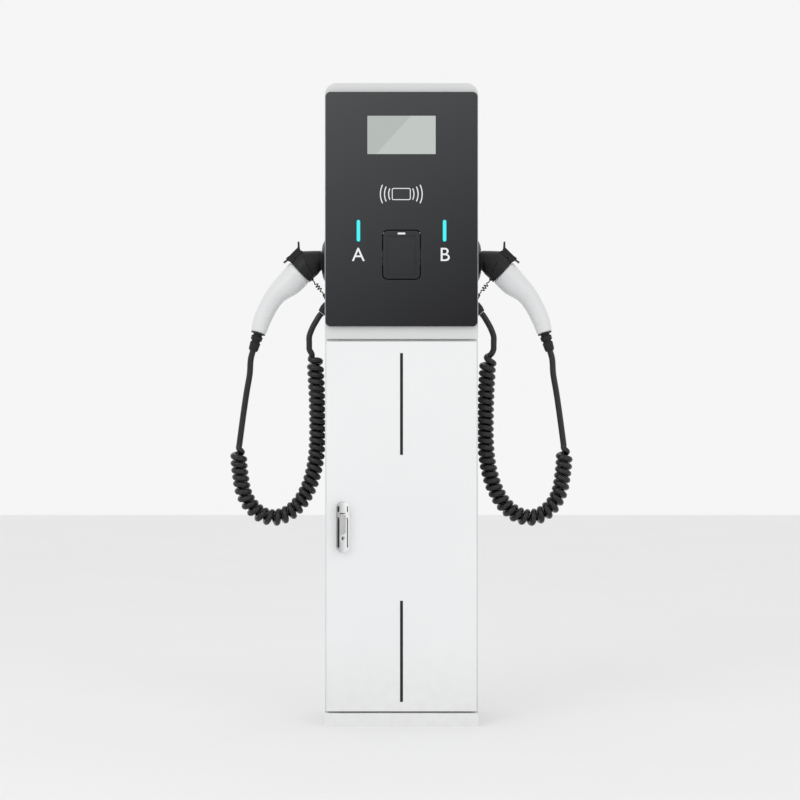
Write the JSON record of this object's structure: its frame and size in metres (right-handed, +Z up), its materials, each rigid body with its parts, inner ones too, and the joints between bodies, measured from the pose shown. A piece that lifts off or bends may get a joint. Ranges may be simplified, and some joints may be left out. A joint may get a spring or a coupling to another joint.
{
  "type": "electric vehicle charging post",
  "caption": "Free-standing electric vehicle charging post: white lockable pedestal, black fascia with screen and breaker flap, and holstered plugs on curly cables at both sides",
  "frame": {"origin": "on the ground under the middle of the post, measured without the plugs and cables", "axes": "+Z up, the front with the screen and door faces -Y, +X to the right seen from the front"},
  "size_m": [0.79, 0.24, 1.4513],
  "materials": {
    "white_paint": "satin powder coat",
    "grey_paint": "satin powder coat",
    "black_gloss": "smooth black fascia",
    "black_plastic": "moulded",
    "white_plastic": "moulded",
    "grey_plastic": "moulded",
    "screen_glass": "plain screen",
    "led_light": "lit diffuser",
    "chrome": "polished",
    "steel": "plain",
    "brass": "plain",
    "cable_black": "smooth sheath",
    "rubber": "matt",
    "board_green": "circuit board"
  },
  "bodies": {
    "post": {"plinth": "white_paint", "cabinet_shell": "white_paint", "upper_hinge_bracket": "steel", "lower_hinge_bracket": "steel", "door_seal": "rubber", "head_shell": "grey_paint", "riser_grommet": "rubber", "front_panel": "black_gloss", "display_lens": "screen_glass", "display_module": "black_plastic", "led_bar_a": "led_light", "led_bar_b": "led_light", "card_reader_board": "board_green", "flap_pin": "steel", "breaker_rail": "steel", "breaker_a": "white_plastic", "breaker_b": "white_plastic", "contactor_a": "grey_plastic", "contactor_b": "grey_plastic", "energy_meter": "white_plastic", "controller_board": "board_green", "mounting_plate": "steel", "supply_rail": "steel", "supply_isolator": "white_plastic", "terminal_block": "grey_plastic", "earth_bar": "brass", "left_holster": "black_plastic", "left_cable_gland": "black_plastic", "left_tether_anchor": "black_plastic", "left_cable_tail": "cable_black", "left_cable_coil": "cable_black", "left_cable_lead": "cable_black", "left_tether": "cable_black", "right_holster": "black_plastic", "right_cable_gland": "black_plastic", "right_tether_anchor": "black_plastic", "right_cable_tail": "cable_black", "right_cable_coil": "cable_black", "right_cable_lead": "cable_black", "right_tether": "cable_black"},
    "door": {"door_panel": "white_paint", "lock_base": "chrome"},
    "lock_cap": {"lock_rotor": "chrome", "lock_cam": "steel"},
    "lock_lever": {"lock_handle": "chrome"},
    "key": {"key_cylinder": "steel"},
    "flap": {"flap_door": "black_gloss"},
    "breaker_switch_a": {"toggle_a": "black_plastic"},
    "breaker_switch_b": {"toggle_b": "black_plastic"},
    "isolator_switch": {"isolator_toggle": "black_plastic"},
    "left_plug": {"left_connector_head": "black_plastic", "left_connector_handle": "white_plastic", "left_strain_relief": "black_plastic"},
    "left_thumb_lever": {"left_latch_lever": "black_plastic"},
    "right_plug": {"right_connector_head": "black_plastic", "right_connector_handle": "white_plastic", "right_strain_relief": "black_plastic"},
    "right_thumb_lever": {"right_latch_lever": "black_plastic"}
  },
  "joints": [
    {"name": "door_hinge", "type": "hinge", "parent": "post", "child": "door", "pos_m": [0.1635, -0.097, 0.45], "axis": [0, 0, 1], "range_deg": [0, 105]},
    {"name": "lock_turn", "type": "hinge", "parent": "door", "child": "lock_cap", "pos_m": [-0.132, -0.104, 0.4925], "axis": [0, -1, 0], "range_deg": [0, 90]},
    {"name": "handle_lift", "type": "hinge", "parent": "lock_cap", "child": "lock_lever", "pos_m": [-0.132, -0.1124, 0.477], "axis": [-1, 0, 0], "range_deg": [0, 40]},
    {"name": "key_turn", "type": "hinge", "parent": "lock_lever", "child": "key", "pos_m": [-0.132, -0.119, 0.425], "axis": [0, -1, 0], "range_deg": [0, 90]},
    {"name": "flap_hinge", "type": "hinge", "parent": "post", "child": "flap", "pos_m": [0, -0.1075, 1.1118], "axis": [-1, 0, 0], "range_deg": [0, 100]},
    {"name": "toggle_a_turn", "type": "hinge", "parent": "post", "child": "breaker_switch_a", "pos_m": [-0.0185, -0.0905, 1.0628], "axis": [1, 0, 0], "range_deg": [0, 50]},
    {"name": "toggle_b_turn", "type": "hinge", "parent": "post", "child": "breaker_switch_b", "pos_m": [0.0185, -0.0905, 1.0628], "axis": [1, 0, 0], "range_deg": [0, 50]},
    {"name": "isolator_turn", "type": "hinge", "parent": "post", "child": "isolator_switch", "pos_m": [-0.06, 0.0351, 0.6703], "axis": [1, 0, 0], "range_deg": [0, 50]},
    {"name": "left_unplug", "type": "slide", "parent": "post", "child": "left_plug", "axis": [-1, 0, 0], "range_m": [0, 0.06], "deforming": ["left_cable_tail", "left_cable_coil", "left_cable_lead", "left_tether"]},
    {"name": "left_latch", "type": "hinge", "parent": "left_plug", "child": "left_thumb_lever", "pos_m": [-0.2603, 0, 1.0607], "axis": [0, -1, 0], "range_deg": [0, 8], "stiffness_Nm_per_rad": 0.6},
    {"name": "right_unplug", "type": "slide", "parent": "post", "child": "right_plug", "axis": [1, 0, 0], "range_m": [0, 0.06], "deforming": ["right_cable_tail", "right_cable_coil", "right_cable_lead", "right_tether"]},
    {"name": "right_latch", "type": "hinge", "parent": "right_plug", "child": "right_thumb_lever", "pos_m": [0.2603, 0, 1.0607], "axis": [0, 1, 0], "range_deg": [0, 8], "stiffness_Nm_per_rad": 0.6}
  ]
}
